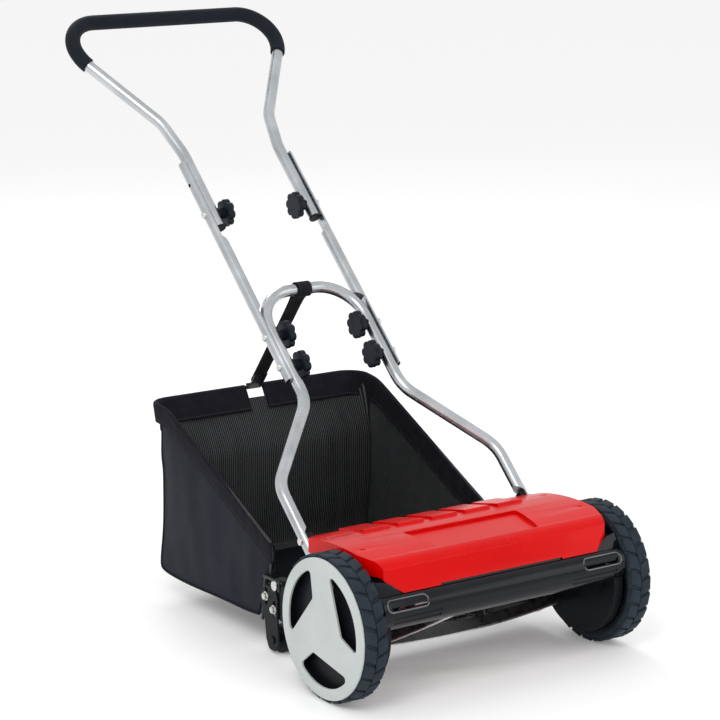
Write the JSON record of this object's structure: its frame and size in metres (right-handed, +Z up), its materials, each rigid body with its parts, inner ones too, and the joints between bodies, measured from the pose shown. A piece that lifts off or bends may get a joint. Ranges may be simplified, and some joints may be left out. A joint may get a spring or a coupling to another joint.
{
  "type": "reel mower",
  "caption": "Push reel mower: red cover over a helical reel, black front bar, geared wheels with grey spoked trims, rear roller, three-stage tubular handle and hanging grass bag",
  "frame": {"origin": "on the ground, midway between the wheels, straight under the wheel axle", "axes": "+Z up, -Y the way the mower travels, +X to its left side as the pusher sees it"},
  "size_m": [0.531, 0.9916, 0.9171],
  "materials": {
    "red_plastic": "high gloss red moulding",
    "black_gloss": "glossy black moulding",
    "black_plastic": "satin black moulding",
    "grey_trim": "light silver-grey moulding",
    "tyre_rubber": "dark blue-grey tread",
    "bare_tube": "bright zinc-coated tube",
    "steel": "machined steel",
    "blade_steel": "hardened steel, dark lacquer",
    "zinc": "zinc-plated fasteners",
    "bronze": "sintered bronze bush",
    "foam": "black foam sleeve",
    "knob_black": "fluted black moulding",
    "bag_cloth": "coated woven cloth and mesh",
    "hem_cloth": "black binding tape",
    "webbing": "black webbing",
    "black_wire": "black coated wire",
    "base_board": "stiff plastic sheet"
  },
  "bodies": {
    "frame": {"side_plate_left": "black_plastic", "side_plate_right": "black_plastic", "front_bar": "black_gloss", "front_bar_screws": "zinc", "top_cover": "red_plastic", "cover_screws": "zinc", "tie_rod": "steel", "bed_knife": "steel", "knife_carrier": "blade_steel", "knife_screws": "zinc", "carrier_bolts": "zinc", "axle_left": "steel", "axle_right": "steel", "axle_retainers": "zinc", "gear_cover_left": "black_plastic", "gear_cover_right": "black_plastic", "reel_bush_left": "bronze", "reel_bush_right": "bronze", "height_bolts": "zinc", "lower_handle": "bare_tube", "foot_bolts": "zinc", "middle_tube_left": "bare_tube", "middle_tube_right": "bare_tube", "handle_bolts": "zinc", "saddle_washers": "black_plastic", "strap": "webbing", "strap_hook": "black_wire"},
    "wheel_left_body": {"wheel_left": "black_plastic", "tyre_left": "tyre_rubber", "wheel_trim_left": "grey_trim", "wheel_bush_left": "bronze"},
    "wheel_right_body": {"wheel_right": "black_plastic", "tyre_right": "tyre_rubber", "wheel_trim_right": "grey_trim", "wheel_bush_right": "bronze"},
    "reel": {"reel_shaft": "steel", "reel_blades": "blade_steel", "reel_spiders": "blade_steel", "pinion_left": "steel", "drive_pawls": "steel", "shaft_clips": "zinc"},
    "right_pinion": {"pinion_right": "steel"},
    "roller_carriage": {"roller_bracket_left": "black_plastic", "roller_bracket_right": "black_plastic", "roller_shaft": "steel"},
    "roller": {"roller_segments": "black_plastic"},
    "upper_stage": {"upper_handle": "bare_tube", "handle_grip": "foam", "tube_plugs": "black_plastic", "fold_washers": "black_plastic"},
    "bag": {"bag_wire": "black_wire", "bag_fabric": "bag_cloth", "bag_hem": "hem_cloth", "bag_base": "base_board"},
    "knob_fold_left": {"star_knob_fold_left": "knob_black"},
    "knob_fold_right": {"star_knob_fold_right": "knob_black"},
    "knob_upper_left": {"star_knob_upper_left": "knob_black"},
    "knob_upper_right": {"star_knob_upper_right": "knob_black"},
    "knob_lower_left": {"star_knob_lower_left": "knob_black"},
    "knob_lower_right": {"star_knob_lower_right": "knob_black"}
  },
  "joints": [
    {"name": "wheel_left_spin", "type": "hinge", "parent": "frame", "child": "wheel_left_body", "pos_m": [0.245, 0, 0.11], "axis": [1, 0, 0], "continuous": true},
    {"name": "wheel_right_spin", "type": "hinge", "parent": "frame", "child": "wheel_right_body", "pos_m": [-0.245, 0, 0.11], "axis": [1, 0, 0], "continuous": true},
    {"name": "reel_spin", "type": "hinge", "parent": "frame", "child": "reel", "pos_m": [0, 0.07002, 0.08312], "axis": [1, 0, 0], "continuous": true},
    {"name": "right_pinion_spin", "type": "hinge", "parent": "frame", "child": "right_pinion", "pos_m": [-0.234, 0.07002, 0.08312], "axis": [1, 0, 0], "continuous": true},
    {"name": "height_slide", "type": "slide", "parent": "frame", "child": "roller_carriage", "axis": [0, 0, 1], "range_m": [-0.01, 0.01]},
    {"name": "roller_spin", "type": "hinge", "parent": "roller_carriage", "child": "roller", "pos_m": [0, 0.218, 0.022], "axis": [1, 0, 0], "continuous": true},
    {"name": "handle_fold", "type": "hinge", "parent": "frame", "child": "upper_stage", "pos_m": [0, 0.56982, 0.61859], "axis": [1, 0, 0], "range_deg": [0, 150]},
    {"name": "bag_lift", "type": "hinge", "parent": "frame", "child": "bag", "pos_m": [0, 0.2, 0.114], "axis": [1, 0, 0], "range_deg": [0, 14]},
    {"name": "knob_fold_left_turn", "type": "hinge", "parent": "frame", "child": "knob_fold_left", "pos_m": [0.07, 0.56982, 0.61859], "axis": [-1, 0, 0], "range_deg": [0, 720]},
    {"name": "knob_fold_right_turn", "type": "hinge", "parent": "frame", "child": "knob_fold_right", "pos_m": [-0.07, 0.56982, 0.61859], "axis": [1, 0, 0], "range_deg": [0, 720]},
    {"name": "knob_upper_left_turn", "type": "hinge", "parent": "frame", "child": "knob_upper_left", "pos_m": [0.07, 0.39269, 0.44932], "axis": [-1, 0, 0], "range_deg": [0, 720]},
    {"name": "knob_upper_right_turn", "type": "hinge", "parent": "frame", "child": "knob_upper_right", "pos_m": [-0.07, 0.39269, 0.44932], "axis": [1, 0, 0], "range_deg": [0, 720]},
    {"name": "knob_lower_left_turn", "type": "hinge", "parent": "frame", "child": "knob_lower_left", "pos_m": [0.07, 0.35076, 0.40925], "axis": [-1, 0, 0], "range_deg": [0, 720]},
    {"name": "knob_lower_right_turn", "type": "hinge", "parent": "frame", "child": "knob_lower_right", "pos_m": [-0.07, 0.35076, 0.40925], "axis": [1, 0, 0], "range_deg": [0, 720]}
  ],
  "couplings": [
    {"joint": "reel_spin", "follows": "wheel_left_spin", "ratio": 6},
    {"joint": "right_pinion_spin", "follows": "wheel_right_spin", "ratio": 6}
  ]
}
